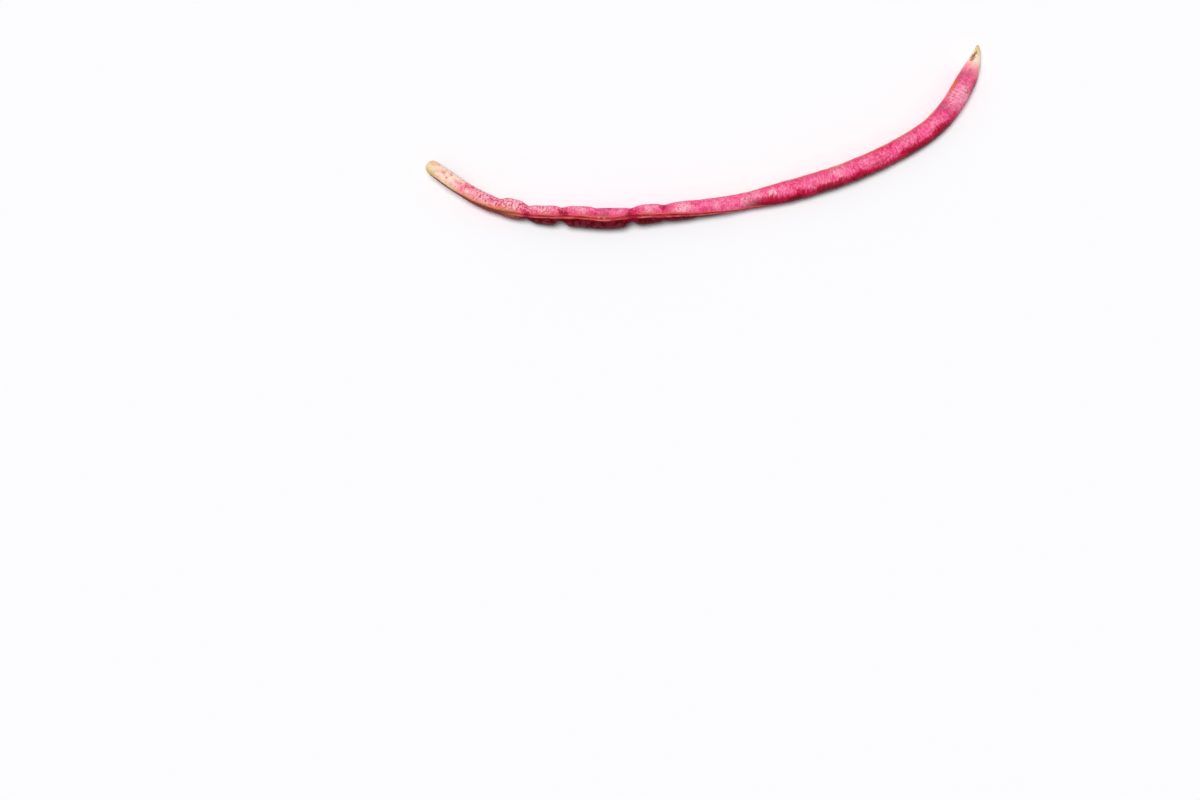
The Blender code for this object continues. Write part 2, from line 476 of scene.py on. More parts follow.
def vector_maths(operation, first, second):
    """A vector and a second vector, or the number that scales it, put through one node."""
    node = first.tree.nodes.new("ShaderNodeVectorMath")
    node.operation = operation
    join(node.inputs[0], first)
    join(node.inputs["Scale" if operation == "SCALE" else 1], second)
    return Wire(first.tree, node.outputs["Vector"])


def vector_of(x, y, z):
    """Three values as one vector."""
    return add(x.tree, "ShaderNodeCombineXYZ", {"X": x, "Y": y, "Z": z}, "Vector")


def geometry_tree(name, sizes):
    """A Geometry Nodes tree that takes a geometry, these named sizes and a material."""
    tree = bpy.data.node_groups.new(name, "GeometryNodeTree")
    tree.interface.new_socket("Geometry", in_out="OUTPUT", socket_type="NodeSocketGeometry")
    tree.interface.new_socket("Geometry", in_out="INPUT", socket_type="NodeSocketGeometry")
    for size, value in sizes.items():
        kind = "NodeSocketInt" if isinstance(value, int) else "NodeSocketFloat"
        tree.interface.new_socket(size, in_out="INPUT", socket_type=kind)
    tree.interface.new_socket("Material", in_out="INPUT", socket_type="NodeSocketMaterial")
    entries = tree.nodes.new("NodeGroupInput").outputs
    return {entry.name: Wire(tree, entry) for entry in entries if entry.name}


def named(tree, attribute, kind="FLOAT"):
    """A named attribute of the geometry."""
    inputs = {"Name": attribute}
    return add(tree, "GeometryNodeInputNamedAttribute", inputs, "Attribute", data_type=kind)


def stored(geometry, attribute, value, kind="FLOAT"):
    """The geometry with a value kept on its points as a named attribute."""
    inputs = {"Geometry": geometry, "Name": attribute, "Value": value}
    settings = {"data_type": kind, "domain": "POINT"}
    return add(geometry.tree, "GeometryNodeStoreNamedAttribute", inputs, "Geometry", **settings)


def finish_tree(geometry, material):
    """End a tree with smooth, realised faces that have their material."""
    tree = geometry.tree
    smooth = add(tree, "GeometryNodeSetShadeSmooth", {"Geometry": geometry}, "Geometry")
    real = add(tree, "GeometryNodeRealizeInstances", {"Geometry": smooth}, "Geometry")
    inputs = {"Geometry": real, "Material": material}
    dressed = add(tree, "GeometryNodeSetMaterial", inputs, "Geometry")
    join(tree.nodes.new("NodeGroupOutput").inputs["Geometry"], dressed)


def pod_tree():
    """Sweep a ring along the spine, and shape it by the spine's sizes at each station."""
    given = geometry_tree("grow_pod", POD_SIZES)
    tree = given["Geometry"].tree
    spine = add(tree, "GeometryNodeMeshToCurve", {"Mesh": given["Geometry"]}, "Curve")
    inputs = {"Resolution": given["Ring Points"]}
    ring = add(tree, "GeometryNodeCurvePrimitiveCircle", inputs, "Curve")
    even = add(tree, "GeometryNodeInputIndex", {}, "Index") / given["Ring Points"] * (2 * np.pi)
    crowding = (even * 2.0).maths("SINE") * given["Seam Crowding"] * 0.5
    ring = stored(ring, "angle", even - crowding)
    inputs = {"Curve": spine, "Profile Curve": ring}
    swept = add(tree, "GeometryNodeCurveToMesh", inputs, "Mesh")

    sine, cosine = named(tree, "angle").maths("SINE"), named(tree, "angle").maths("COSINE")
    radius = named(tree, "ring_share") * given["Pattern Radius"]
    pattern = vector_of(named(tree, "station"), sine * radius, cosine * radius)
    around = given["Wrinkles Around"]
    stretch = vector_of(given["Wrinkles Along"], around, around)
    across = vector_maths("MULTIPLY", pattern, stretch)
    detail = given["Relief Detail"]
    inputs = {"Vector": across, "Scale": 1.0, "Detail": detail}
    wrinkle = add(tree, "ShaderNodeTexNoise", inputs, "Fac")
    inputs = {"Vector": pattern, "Scale": given["Lumps Per Metre"], "Detail": detail}
    lump = add(tree, "ShaderNodeTexNoise", inputs, "Fac")

    on_upper = sine.maths("GREATER_THAN", 0.0)
    to_side = abs(sine).maths("POWER", given["Pinch Focus"])
    upper, lower = named(tree, "upper_pinch"), named(tree, "lower_pinch")
    crease = (lower + (upper - lower) * on_upper) * to_side
    upper, lower = named(tree, "upper_swell"), named(tree, "lower_swell")
    swell = lower + (upper - lower) * on_upper - crease

    share = named(tree, "ring_share")
    relief = wrinkle.swing(given["Wrinkle Depth"]) + lump.swing(given["Lump Depth"])
    relief = (relief - named(tree, "fold") * to_side * given["Fold Depth"]) * share
    sideways = (swell + relief) * sine
    off_ridge = abs(sideways) - given["Double Ridge Offset"]
    ridges = off_ridge.bump(given["Double Ridge Width"]) * given["Double Ridge Height"]
    keel = -(sideways.bump(given["Keel Width"]) * given["Keel Height"])
    on_placenta = cosine.maths("GREATER_THAN", 0.0)
    seams = (keel + (ridges - keel) * on_placenta) * named(tree, "ridge_fade")
    depth = (named(tree, "half_depth") + relief) * cosine + seams * share

    to_seam = vector_maths("SCALE", named(tree, "to_seam", "FLOAT_VECTOR"), depth)
    to_valve = vector_maths("SCALE", named(tree, "to_upper_valve", "FLOAT_VECTOR"), sideways)
    place = vector_maths("ADD", named(tree, "centre", "FLOAT_VECTOR"), to_seam)
    place = vector_maths("ADD", place, to_valve)
    place = vector_maths("MAXIMUM", place, TABLE_LIMIT)
    inputs = {"Geometry": swept, "Position": place}
    shaped = add(tree, "GeometryNodeSetPosition", inputs, "Geometry")

    shaped = stored(shaped, "pattern", pattern, "FLOAT_VECTOR")
    shaped = stored(shaped, "from_seam", sideways)
    inputs = {"Geometry": shaped, "Distance": given["Weld Distance"]}
    welded = add(tree, "GeometryNodeMergeByDistance", inputs, "Geometry")
    finish_tree(welded, given["Material"])
    return tree


def grow(name, base_mesh, tree, sizes, material):
    """A plain mesh object, made by running a base mesh through a Geometry Nodes tree."""
    piece = bpy.data.objects.new(name, base_mesh)
    bpy.context.scene.collection.objects.link(piece)
    modifier = piece.modifiers.new(tree.name, "NODES")
    modifier.node_group = tree
    values = {**sizes, "Material": material}
    for socket in tree.interface.items_tree:
        if socket.in_out == "INPUT" and socket.name in values:
            modifier[socket.identifier] = values[socket.name]
    evaluated = piece.evaluated_get(bpy.context.evaluated_depsgraph_get())
    mesh = bpy.data.meshes.new_from_object(evaluated)
    piece.modifiers.remove(modifier)
    piece.data = mesh
    mesh.name = name

    bm = bmesh.new()
    bm.from_mesh(mesh)
    bmesh.ops.recalc_face_normals(bm, faces=bm.faces)
    bm.to_mesh(mesh)
    bm.free()
    return piece


# The colours of the skin, as they look on a screen, from 0 to 255.
PINK = (248, 82, 146)
PALE_PINK = (255, 180, 204)
MAGENTA = (232, 42, 112)
CRIMSON = (192, 4, 56)
DEEP_CRIMSON = (150, 0, 42)
DARK_CRIMSON = (88, 0, 8)
CREAM = (253, 230, 204)
BLUSH = (252, 160, 170)
WHITISH = (255, 206, 214)
SOFT_PINK = (252, 136, 178)
SEAM_RED = (196, 58, 68)
SEAM_GOLD = (206, 122, 60)
SEAM_PEACH = (238, 140, 122)
KEEL_TAN = (234, 174, 106)
# Partly the seam's own brown and partly painted shade.
SHADED_BROWN = (104, 22, 30)
OLIVE = (214, 190, 108)
BROWN = (132, 82, 30)
RUSSET = (220, 104, 52)
GREY_PURPLE = (176, 76, 112)

# Soft patches, ragged spots and dusky patches on the skin. Each has a station, a place in
# degrees round from the placental seam towards the upper valve, a radius and a colour.
# The whitish and pale patches over the seeds' swellings are partly the skin's own paleness and
# partly painted highlight.
PATCHES = (
    (0.0330, 46.0, 0.0060, WHITISH),
    (0.0520, 54.0, 0.0052, WHITISH),
    (0.0696, 52.0, 0.0056, WHITISH),
    (0.0892, 46.0, 0.0046, PALE_PINK),
    (0.1110, 40.0, 0.0022, PALE_PINK),
    (0.1276, 40.0, 0.0042, PALE_PINK),
    (0.1460, 52.0, 0.0056, WHITISH),
    (0.1640, 52.0, 0.0040, PALE_PINK),
    (0.1720, 92.0, 0.0050, SOFT_PINK),
    (0.1800, 72.0, 0.0048, PALE_PINK),
    (0.1880, 104.0, 0.0054, PALE_PINK),
    (0.1965, 94.0, 0.0040, WHITISH),
    (0.2268, 72.0, 0.0042, PALE_PINK),
    (0.2338, 126.0, 0.0054, PALE_PINK),
    (0.2500, 122.0, 0.0044, SOFT_PINK),
    (0.2766, 136.0, 0.0048, SOFT_PINK),
    (0.2920, 124.0, 0.0040, SOFT_PINK),
    (0.3140, 98.0, 0.0072, PALE_PINK),
    (0.3180, 66.0, 0.0056, PALE_PINK),
)
SPOTS = (
    (0.0034, 18.0, 0.0018, OLIVE),
    (0.0090, 88.0, 0.0013, RUSSET),
    (0.0128, 100.0, 0.0008, RUSSET),
    (0.0118, 62.0, 0.0010, RUSSET),
    (0.0228, 78.0, 0.0014, CRIMSON),
    (0.0262, 96.0, 0.0012, CRIMSON),
    (0.0390, 66.0, 0.0012, CRIMSON),
    (0.0362, 40.0, 0.0006, BROWN),
    (0.0590, 22.0, 0.0014, CRIMSON),
    (0.0604, -2.0, 0.0022, DEEP_CRIMSON),
    (0.0622, 34.0, 0.0010, CRIMSON),
    (0.0776, 42.0, 0.0012, CRIMSON),
    (0.0790, 26.0, 0.0016, DEEP_CRIMSON),
    (0.0796, 60.0, 0.0011, CRIMSON),
    (0.0812, 20.0, 0.0015, DEEP_CRIMSON),
    (0.0814, 44.0, 0.0011, CRIMSON),
    (0.0978, 30.0, 0.0013, DEEP_CRIMSON),
    (0.0982, 54.0, 0.0013, CRIMSON),
    (0.0988, 78.0, 0.0010, CRIMSON),
    (0.0996, 6.0, 0.0006, SEAM_PEACH),
    (0.1028, 3.0, 0.0006, SEAM_GOLD),
    (0.1060, 70.0, 0.0009, CRIMSON),
    (0.1098, 56.0, 0.0010, CRIMSON),
    (0.1166, 8.0, 0.0018, DEEP_CRIMSON),
    (0.1170, 42.0, 0.0012, CRIMSON),
    (0.1178, 64.0, 0.0008, CRIMSON),
    (0.1190, -4.0, 0.0016, DEEP_CRIMSON),
    (0.1352, 40.0, 0.0019, CRIMSON),
    (0.1362, 64.0, 0.0012, CRIMSON),
    (0.3180, 72.0, 0.0008, RUSSET),
    (0.3160, 176.0, 0.0018, RUSSET),
    (0.3200, 170.0, 0.0018, RUSSET),
    (0.3370, 136.0, 0.0024, BROWN),
    (0.3392, 130.0, 0.0020, BROWN),
)
DUSKY_PATCHES = (
    (0.1020, 50.0, 0.0040, GREY_PURPLE),
    (0.1372, 56.0, 0.0022, GREY_PURPLE),
    (0.3030, 162.0, 0.0040, GREY_PURPLE),
    (0.3230, 150.0, 0.0036, GREY_PURPLE),
    (0.3274, 146.0, 0.0030, GREY_PURPLE),
)

# Where the ridge beside the seam is golden: the middle of the stretch, and how far it reaches.
GOLD_STRETCHES = (
    (0.0715, 0.0050),
    (0.0970, 0.0110),
    (0.1330, 0.0060),
    (0.1800, 0.0120),
)

# The patterns scattered over the skin. Each has its patches' size along and around the pod,
# the threshold and the softness of their edges, and a seed.
PATTERN_INPUTS = ("Along", "Around", "Threshold", "Softness", "Seed")
PATTERN_DETAIL = 3.0
PATTERNS = {
    "clouds": (0.0090, 0.0060, 0.50, 0.12, 1.0),
    "freckles": (0.0011, 0.0012, 0.53, 0.06, 2.0),
    "streaks": (0.0007, 0.0026, 0.52, 0.08, 3.0),
    "grain": (0.0005, 0.0008, 0.50, 0.12, 4.0),
    "pale flecks": (0.0008, 0.0016, 0.53, 0.06, 5.0),
    "dapples": (0.0030, 0.0030, 0.51, 0.08, 6.0),
    "blotches": (0.0022, 0.0026, 0.50, 0.08, 8.0),
    "blushes": (0.0030, 0.0026, 0.52, 0.08, 9.0),
    "dull places": (0.0030, 0.0030, 0.50, 0.12, 10.0),
    "wrinkles": (0.0005, 0.0035, 0.50, 0.20, 11.0),
    "pores": (0.0004, 0.0004, 0.50, 0.20, 12.0),
    "red stretches": (0.0045, 0.0012, 0.50, 0.08, 13.0),
    "bare stretches": (0.0120, 0.0030, 0.47, 0.08, 14.0),
}

# Stretches of the pod with colours of their own; under the stem, in the shaded middle and on
# the low side the colour is partly painted shade. Each comes in between its first two stations,
# and goes out between its last two.
NEAR_STEM = (-0.004, 0.007, 0.044, 0.060)
UNDER_STEM = (0.014, 0.046, 0.060, 0.080)
FIRST_SEEDS = (0.022, 0.030, 0.062, 0.092)
SEAM_IN_VIEW = (0.024, 0.048, 0.170, 0.215)
SHADED_MIDDLE = (0.040, 0.062, 0.170, 0.205)
RED_BESIDE_SEAM = (0.056, 0.076, 0.125, 0.150)
RED_BESIDE_KEEL = (0.150, 0.190, 0.300, 0.325)
LOW_SIDE = (0.174, 0.194, 0.318, 0.330)

# The low side is pale again round this station, over this length, without its crimson and painted
# shade.
LOW_SIDE_GAP = 0.312
LOW_SIDE_GAP_LENGTH = 0.010

# Fades round the pod, from where a colour starts to where it is full. Across the valves they go
# by the sine, which is 1 on the upper valve and -1 on the lower one. From seam to seam they go
# by the cosine, which is 1 on the placental seam and -1 on the keel.
ACROSS_EITHER_VALVE = (0.05, 0.60)
ACROSS_SHADED_VALVE = (0.08, -0.20)
TO_PLACENTA = (0.0, 0.2)
TO_KEEL = (0.0, -0.2)
CLOSE_TO_PLACENTA = (0.62, 0.97)
CLOSE_TO_KEEL = (-0.50, -0.95)
CRIMSON_FINGERS = (-0.14, 0.38)
DARK_FINGERS = (0.34, 0.96)


def paint(screen_colour):
    """A screen colour as the linear light values that a shader takes."""
    colour = Color([value / 255 for value in screen_colour])
    return (*colour.from_srgb_to_scene_linear(), 1.0)


def mottle_group():
    """A shader node group: soft-edged patches of a chosen size, scattered over a surface."""
    tree = bpy.data.node_groups.new("mottle", "ShaderNodeTree")
    tree.interface.new_socket("Vector", in_out="INPUT", socket_type="NodeSocketVector")
    for name in PATTERN_INPUTS:
        tree.interface.new_socket(name, in_out="INPUT", socket_type="NodeSocketFloat")
    tree.interface.new_socket("Mask", in_out="OUTPUT", socket_type="NodeSocketFloat")
    entries = tree.nodes.new("NodeGroupInput").outputs
    given = {entry.name: Wire(tree, entry) for entry in entries if entry.name}

    size = vector_of(given["Along"], given["Around"], given["Around"])
    place = vector_maths("DIVIDE", given["Vector"], size)
    inputs = {"Vector": place, "W": given["Seed"], "Scale": 1.0, "Detail": PATTERN_DETAIL}
    noise = add(tree, "ShaderNodeTexNoise", inputs, "Fac", noise_dimensions="4D")
    threshold, softness = given["Threshold"], given["Softness"]
    mask = noise.rise(threshold - softness, threshold + softness)
    join(tree.nodes.new("NodeGroupOutput").inputs["Mask"], mask)
    return tree


MOTTLE = mottle_group()


def patches(place, pattern):
    """A pattern scattered by the mottle group: 1 in its patches, 0 between them."""
    inputs = {"Vector": place, **dict(zip(PATTERN_INPUTS, PATTERNS[pattern]))}
    return add(place.tree, "ShaderNodeGroup", inputs, "Mask", node_tree=MOTTLE)


def layer(below, screen_colour, mask):
    """A colour laid over another, as strongly as the mask says."""
    node = mask.tree.nodes.new("ShaderNodeMix")
    node.data_type = "RGBA"
    node.clamp_factor = True
    entries = {entry.identifier: entry for entry in node.inputs}
    join(entries["Factor_Float"], mask)
    join(entries["A_Color"], below)
    join(entries["B_Color"], paint(screen_colour))
    results = {result.identifier: result for result in node.outputs}
    return Wire(mask.tree, results["Result_Color"])


def kept(tree, name, output="Fac"):
    """A value that the geometry kept on the skin's points."""
    return add(tree, "ShaderNodeAttribute", {}, output, attribute_name=name)


def places_on_skin(pattern):
    """Where a point of the skin is, and the patterns that several colours share."""
    tree = pattern.tree
    node = tree.nodes.new("ShaderNodeSeparateXYZ")
    join(node.inputs["Vector"], pattern)
    station, sine, cosine = (Wire(tree, output) for output in node.outputs)
    return SimpleNamespace(
        pattern=pattern,
        station=station,
        sine=sine / POD_SIZES["Pattern Radius"],
        cosine=cosine / POD_SIZES["Pattern Radius"],
        from_seam=kept(tree, "from_seam"),
        over_seed=kept(tree, "over_seed"),
        creased=kept(tree, "creased"),
        clouds=patches(pattern, "clouds"),
        freckles=patches(pattern, "freckles"),
        streaks=patches(pattern, "streaks"),
        grain=patches(pattern, "grain"),
    )


# A round mark fades in from its outer edge to its inner one. Both are shares of its radius, and
# so is the width that its outline wanders over. A ragged mark is crisper and rougher.
MARK_OUTER_EDGE = 1.25
MARK_INNER_EDGE = 0.1
MARK_CRISPNESS = 0.6
MARK_WANDER = 0.8
SOFT_MARKS = {"strength": 0.74, "raggedness": 0.1}
DUSKY_MARKS = {"strength": 0.50, "raggedness": 0.4}
RAGGED_MARKS = {"strength": 0.80, "raggedness": 0.7}


def round_mark(at, mark, raggedness):
    """1 inside a round mark on the skin, given its station, degrees round and radius."""
    station, degrees, radius = mark
    angle = np.radians(degrees)
    reach = POD_SIZES["Pattern Radius"]
    middle = (station, reach * float(np.sin(angle)), reach * float(np.cos(angle)))
    node = at.pattern.tree.nodes.new("ShaderNodeVectorMath")
    node.operation = "DISTANCE"
    join(node.inputs[0], at.pattern)
    join(node.inputs[1], middle)
    away = Wire(at.pattern.tree, node.outputs["Value"])
    rough = at.grain.swing(radius * raggedness) + at.clouds.swing(radius * MARK_WANDER)
    inner_edge = MARK_INNER_EDGE + raggedness * MARK_CRISPNESS
    return (away + rough).rise(radius * MARK_OUTER_EDGE, radius * inner_edge)


def add_marks(skin, at, marks, strength, raggedness):
    """Round marks over the skin, each in its own colour."""
    for *mark, colour in marks:
        skin = layer(skin, colour, round_mark(at, mark, raggedness) * strength)
    return skin


# How strongly each colour covers the valves. A pair is for where the pattern that varies the
# colour is missing, and for where it is full.
VALVE_COVER = SimpleNamespace(
    magenta_between_clouds=0.60,
    pale_in_clouds=(0.60, 1.00),
    pale_and_highlight_over_seeds=(0.12, 0.32),
    pale_dapples=0.24,
    whitish_and_highlight_first_seeds=(0.38, 0.62),
    pale_flecks=0.30,
    magenta_streaks=0.38,
    freckles=0.28,
    freckles_between_clouds=0.26,
    freckles_over_first_seeds=0.34,
    beside_seam=(0.46, 0.28),
    creases=(0.70, 0.25),
    under_stem_shade=(0.40, 0.85),
    shaded_middle=(0.90, 1.00),
    crimson_fingers=0.95,
    dark_fingers=0.85,
    beside_keel=0.32,
)

# The swellings over the seeds are palest, partly with painted highlight, up to the second of
# these stations.
PALE_AND_LIT_SWELLINGS = (0.150, 0.120)

# How far patterns push the creases' edges, where in a pushed crease the crimson starts and is
# full, and where it may start and be full at all.
CREASE_BLOTCHING = 0.36
CREASE_STREAKING = 0.30
CREASE_EDGE = (0.30, 0.95)
CREASE_LIMIT = (0.0, 0.25)

# How far patterns push the edge of the shaded valve, and the crimson fingers on the low side;
# both colours are partly painted shade.
SHADE_STREAKING = 0.10
FINGER_STREAKING = 0.16
FINGER_CLOUDING = 0.34


def valve_colour(at):
    """Pink valves: pale over the seeds, partly painted highlight, crimson in the creases, and
    crimson on the shaded sides, partly painted shade.
    """
    cover = VALVE_COVER
    between_clouds = at.clouds.rest()
    skin = layer(paint(PINK), MAGENTA, between_clouds * cover.magenta_between_clouds)
    on_valve = abs(at.sine).rise(*ACROSS_EITHER_VALVE)
    # Paleness over the seeds: partly the skin's own, stretched thin, and partly painted highlight.
    pale = at.over_seed * on_valve * at.clouds.between(*cover.pale_in_clouds)
    pale = pale * at.station.rise(*PALE_AND_LIT_SWELLINGS).between(*cover.pale_and_highlight_over_seeds)
    skin = layer(skin, PALE_PINK, pale)
    dapples = patches(at.pattern, "dapples")
    skin = layer(skin, PALE_PINK, dapples * cover.pale_dapples)
    # Whitish over the first seeds: partly their own paleness and partly painted highlight.
    first_seeds = at.station.within(*FIRST_SEEDS)
    whitish = dapples.between(*cover.whitish_and_highlight_first_seeds)
    skin = layer(skin, WHITISH, first_seeds * on_valve * whitish)
    skin = add_marks(skin, at, PATCHES, **SOFT_MARKS)
    skin = layer(skin, PALE_PINK, patches(at.pattern, "pale flecks") * cover.pale_flecks)
    skin = layer(skin, MAGENTA, at.streaks * cover.magenta_streaks)
    freckled = first_seeds * cover.freckles_over_first_seeds + cover.freckles
    freckled = freckled + between_clouds * cover.freckles_between_clouds
    skin = layer(skin, CRIMSON, at.freckles * freckled)

    beside_seam = at.cosine.rise(*CLOSE_TO_PLACENTA) * at.station.within(*RED_BESIDE_SEAM)
    skin = layer(skin, CRIMSON, beside_seam * at.over_seed.between(*cover.beside_seam))
    blotches = patches(at.pattern, "blotches")
    ragged = blotches.swing(CREASE_BLOTCHING) + at.streaks.swing(CREASE_STREAKING)
    creases = (at.creased + ragged).rise(*CREASE_EDGE) * at.creased.rise(*CREASE_LIMIT)
    skin = layer(skin, CRIMSON, creases * on_valve.between(*cover.creases))

    # The lower valve's crimson under the stem and its dark crimson in the middle are partly the
    # skin's own colour and partly painted shade.
    shaded_valve = (at.sine + at.streaks.swing(SHADE_STREAKING)).rise(*ACROSS_SHADED_VALVE)
    under_stem_shade = at.station.within(*UNDER_STEM) * blotches.between(*cover.under_stem_shade)
    skin = layer(skin, CRIMSON, shaded_valve * under_stem_shade)
    middle_shade = at.station.within(*SHADED_MIDDLE) * blotches.between(*cover.shaded_middle)
    skin = layer(skin, DARK_CRIMSON, shaded_valve * middle_shade)

    # On the low side of the second half, crimson and dark crimson fingers: partly the skin's own
    # colour and partly painted shade.
    outside_gap = (at.station - LOW_SIDE_GAP).bump(LOW_SIDE_GAP_LENGTH).rest()
    shaded_low_side = at.station.within(*LOW_SIDE) * outside_gap
    fingers = at.cosine + at.streaks.swing(FINGER_STREAKING)
    fingers = fingers + between_clouds.swing(FINGER_CLOUDING)
    crimson = fingers.rise(*CRIMSON_FINGERS) * shaded_low_side * cover.crimson_fingers
    skin = layer(skin, CRIMSON, crimson)
    dark = fingers.rise(*DARK_FINGERS) * shaded_low_side * cover.dark_fingers
    skin = layer(skin, DARK_CRIMSON, dark)
    beside_keel = at.cosine.rise(*CLOSE_TO_KEEL) * at.station.within(*RED_BESIDE_KEEL)
    return layer(skin, CRIMSON, beside_keel * cover.beside_keel)


# The sizes of the seams' lines of colour: how far they wander, the edges of the red band that
# they lie on, and how wide each line is.
SEAM_CLOUD_WANDER = 0.0005
SEAM_STREAK_WANDER = 0.0002
SEAM_BAND_EDGE = (0.0016, 0.0010)
UPPER_LINE_WIDTH = 0.00034
LOWER_LINE_WIDTH = 0.00024
GROOVE_WIDTH = 0.00028
KEEL_LINE_WIDTH = 0.00060

# In the pinches the seam's colours are weaker, fully so from the second of these stations on.
SEAM_CREASES = (0.050, 0.058)

# How strongly each colour covers the seams, with pairs as on the valves.
SEAM_COVER = SimpleNamespace(
    between_seeds=(1.00, 0.50),
    red_band=0.85,
    crimson_band=0.75,
    upper_peach=(0.25, 0.60),
    upper_gold=(0.55, 0.90),
    lower_peach=(0.85, 0.15),
    dark_groove=(0.30, 0.70),
    tan_keel=(0.50, 1.00),
)


def add_seams(skin, at):
    """Two ridges with a groove between them along one side, and a tan keel along the other."""
    cover = SEAM_COVER
    between_seeds = at.creased * at.station.rise(*SEAM_CREASES)
    strength = at.cosine.rise(*TO_PLACENTA) * at.station.within(*SEAM_IN_VIEW)
    strength = strength * between_seeds.between(*cover.between_seeds)
    red_stretches = patches(at.pattern, "red stretches")
    wander = at.clouds.swing(SEAM_CLOUD_WANDER) + at.streaks.swing(SEAM_STREAK_WANDER)
    band = (abs(at.from_seam) + wander).rise(*SEAM_BAND_EDGE) * strength
    skin = layer(skin, SEAM_RED, band * cover.red_band)
    skin = layer(skin, CRIMSON, band * red_stretches * cover.crimson_band)

    off_ridge = POD_SIZES["Double Ridge Offset"]
    upper_line = (at.from_seam - off_ridge + wander).bump(UPPER_LINE_WIDTH) * strength
    skin = layer(skin, SEAM_PEACH, upper_line * red_stretches.between(*cover.upper_peach))
    for middle, length in GOLD_STRETCHES:
        golden = (at.station - middle).bump(length) * red_stretches.between(*cover.upper_gold)
        skin = layer(skin, SEAM_GOLD, upper_line * golden)
    lower_line = (at.from_seam + off_ridge).bump(LOWER_LINE_WIDTH) * strength
    skin = layer(skin, SEAM_PEACH, lower_line * red_stretches.between(*cover.lower_peach))
    groove = at.from_seam.bump(GROOVE_WIDTH) * strength
    skin = layer(skin, DARK_CRIMSON, groove * red_stretches.between(*cover.dark_groove))

    keel = at.from_seam.bump(KEEL_LINE_WIDTH) * at.cosine.rise(*TO_KEEL)
    bare_stretches = patches(at.pattern, "bare stretches")
    return layer(skin, KEEL_TAN, keel * bare_stretches.between(*cover.tan_keel))


# The stem end: how far patterns push its fades along the pod, the stations where each fade
# starts and is full, and the sines between which its brown and tan edge comes in and goes out.
# The brown is partly the seam's own brown and partly painted shade.
STEM_CLOUDING = 0.010
STEM_STREAKING = 0.006
STEM_BLUSH = (0.038, 0.021)
STEM_CREAM = (0.027, 0.016)
STEM_RIM = (0.007, 0.001)
EDGE_STREAKING = 0.12
TAN_EDGE = (0.72, 0.15, -0.30, -0.98)
SHADE_AND_BROWN_EDGE = (0.36, -0.14, -0.45, -0.98)

# How strongly each colour covers the stem end, with pairs as on the valves.
STEM_COVER = SimpleNamespace(
    blush=(0.90, 0.45),
    cream=(0.95, 0.40),
    olive_rim=(0.30, 0.60),
    tan_edge=0.55,
    shade_and_brown_edge=0.88,
)

# The beak's bands of colour. Each has the stations where it starts and is full, and a strength.
BEAK_FRECKLING = 0.0012
BEAK_CLOUDING = 0.0030
BEAK_BANDS = (
    (0.3220, 0.3320, 0.85, BLUSH),
    (0.3290, 0.3360, 0.95, CREAM),
    (0.3375, 0.3420, 0.60, OLIVE),
    (0.3425, 0.3445, 0.60, BROWN),
)


def add_ends(skin, at):
    """Both ends fade through blush to cream, unevenly, and the beak's tip dries to brown."""
    cover = STEM_COVER
    uneven = at.station + at.clouds.swing(STEM_CLOUDING) + at.streaks.swing(STEM_STREAKING)
    blush = uneven.rise(*STEM_BLUSH) * at.streaks.between(*cover.blush)
    skin = layer(skin, BLUSH, blush)
    blushes = patches(at.pattern, "blushes")
    cream = uneven.rise(*STEM_CREAM) * blushes.between(*cover.cream)
    skin = layer(skin, CREAM, cream)
    rim = at.station.rise(*STEM_RIM) * at.grain.between(*cover.olive_rim)
    skin = layer(skin, OLIVE, rim)
    near_stem = at.station.within(*NEAR_STEM)
    ragged_sine = at.sine + at.streaks.swing(EDGE_STREAKING)
    tan_edge = ragged_sine.within(*TAN_EDGE) * near_stem * cover.tan_edge
    skin = layer(skin, KEEL_TAN, tan_edge)
    # The brown on the stem end's low edge is partly the seam's own brown and partly painted shade.
    shade_and_brown_edge = ragged_sine.within(*SHADE_AND_BROWN_EDGE) * near_stem * cover.shade_and_brown_edge
    skin = layer(skin, SHADED_BROWN, shade_and_brown_edge)

    beak = at.station + at.freckles.swing(BEAK_FRECKLING) + at.clouds.swing(BEAK_CLOUDING)
    for start, full, strength, colour in BEAK_BANDS:
        skin = layer(skin, colour, beak.rise(start, full) * strength)
    return add_marks(skin, at, DUSKY_PATCHES, **DUSKY_MARKS)


# The wax on the skin, the faint glow of light that passes through it, and its finest relief,
# which is only shaded.
SKIN_ROUGHNESS = (0.38, 0.48)
SKIN_SHINE = 0.08
GLOW_WEIGHT = 0.05
GLOW_DEPTH = 0.0010
PORES_AGAINST_WRINKLES = 0.6
FINE_RELIEF = {"Distance": 0.00006, "Strength": 0.8}


def pod_skin_material():
    """The pod's skin: a waxy satin over mottled pinks, with fine cross wrinkles and pores."""
    material = bpy.data.materials.new("pod_skin")
    material.use_nodes = True
    tree = material.node_tree
    shader = tree.nodes["Principled BSDF"]
    pattern = kept(tree, "pattern", "Vector")
    at = places_on_skin(pattern)
    colour = add_ends(add_seams(valve_colour(at), at), at)
    colour = add_marks(colour, at, SPOTS, **RAGGED_MARKS)
    join(shader.inputs["Base Color"], colour)

    roughness = patches(pattern, "dull places").between(*SKIN_ROUGHNESS)
    join(shader.inputs["Roughness"], roughness)
    height = patches(pattern, "wrinkles") + patches(pattern, "pores") * PORES_AGAINST_WRINKLES
    inputs = {"Height": height, **FINE_RELIEF}
    join(shader.inputs["Normal"], add(tree, "ShaderNodeBump", inputs, "Normal"))
    shader.inputs["Specular IOR Level"].default_value = SKIN_SHINE
    shader.inputs["Subsurface Weight"].default_value = GLOW_WEIGHT
    shader.inputs["Subsurface Scale"].default_value = GLOW_DEPTH
    return material


skin = grow("pod_skin", pod_spine(), pod_tree(), POD_SIZES, pod_skin_material())

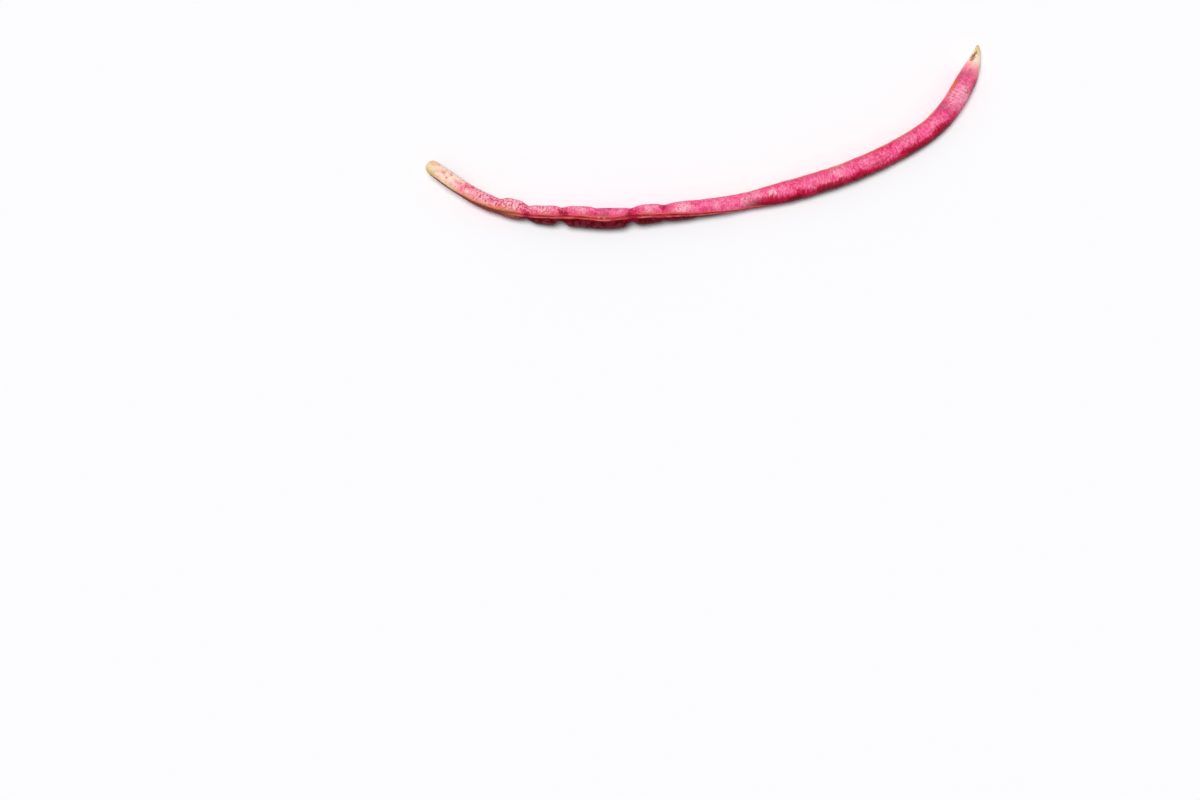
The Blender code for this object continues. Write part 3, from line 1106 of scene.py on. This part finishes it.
# The skin is grown from the stalk's scar, and then moved to where the pod lies in the frame.
corners = np.array([vertex.co for vertex in skin.data.vertices])
own_middle = Vector((corners.min(axis=0) + corners.max(axis=0)) / 2)
cad_middle = (cad_low + cad_high) / 2
to_frame = Matrix.Translation((cad_middle.x - own_middle.x, cad_middle.y - own_middle.y, 0.0))
skin.data.transform(to_frame)
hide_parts("pod")
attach(skin, "root")


# The table. It is a plain, near-white, matt surface, and it isn't part of the object.

TABLE_SIZE = 8.0
TABLE_DROP = 0.00005
TABLE_WHITE = (246, 246, 248)
TABLE_ROUGHNESS = 0.9
TABLE_SHINE = 0.1


def table_material():
    """The table's surface: a plain near-white, with no shine."""
    material = bpy.data.materials.new("table")
    material.use_nodes = True
    shader = material.node_tree.nodes["Principled BSDF"]
    shader.inputs["Base Color"].default_value = paint(TABLE_WHITE)
    shader.inputs["Roughness"].default_value = TABLE_ROUGHNESS
    shader.inputs["Specular IOR Level"].default_value = TABLE_SHINE
    return material


bm = bmesh.new()
bmesh.ops.create_grid(bm, size=TABLE_SIZE / 2, matrix=Matrix.Translation((0, 0, -TABLE_DROP)))
table_mesh = bpy.data.meshes.new("table")
bm.to_mesh(table_mesh)
bm.free()
table_mesh.materials.append(table_material())
table = bpy.data.objects.new("table", table_mesh)
bpy.context.scene.collection.objects.link(table)


# The light. It is a bright white room, with a broad soft light high over the far side of the
# table, so that the pod's near side is darker and its shadow is soft and faint.

ROOM_COLOUR = (0.97, 0.98, 1.0, 1.0)
ROOM_STRENGTH = 0.34
SKYLIGHT_COLOUR = (1.0, 0.99, 0.98)
SKYLIGHT_FROM = Vector((-0.16, 0.18, 1.0))
SKYLIGHT_STRENGTH = 2.36
SKYLIGHT_WIDTH = 0.50

world = bpy.data.worlds.new("room")
world.use_nodes = True
background = world.node_tree.nodes["Background"]
background.inputs["Color"].default_value = ROOM_COLOUR
background.inputs["Strength"].default_value = ROOM_STRENGTH
bpy.context.scene.world = world

skylight_data = bpy.data.lights.new("skylight", "SUN")
skylight_data.color = SKYLIGHT_COLOUR
skylight_data.energy = SKYLIGHT_STRENGTH
skylight_data.angle = SKYLIGHT_WIDTH
skylight = bpy.data.objects.new("skylight", skylight_data)
skylight.rotation_euler = (-SKYLIGHT_FROM).to_track_quat("-Z", "Y").to_euler()
bpy.context.scene.collection.objects.link(skylight)

# The plain view transform keeps the pinks as bright as they are in the picture.
bpy.context.scene.view_settings.view_transform = "Standard"
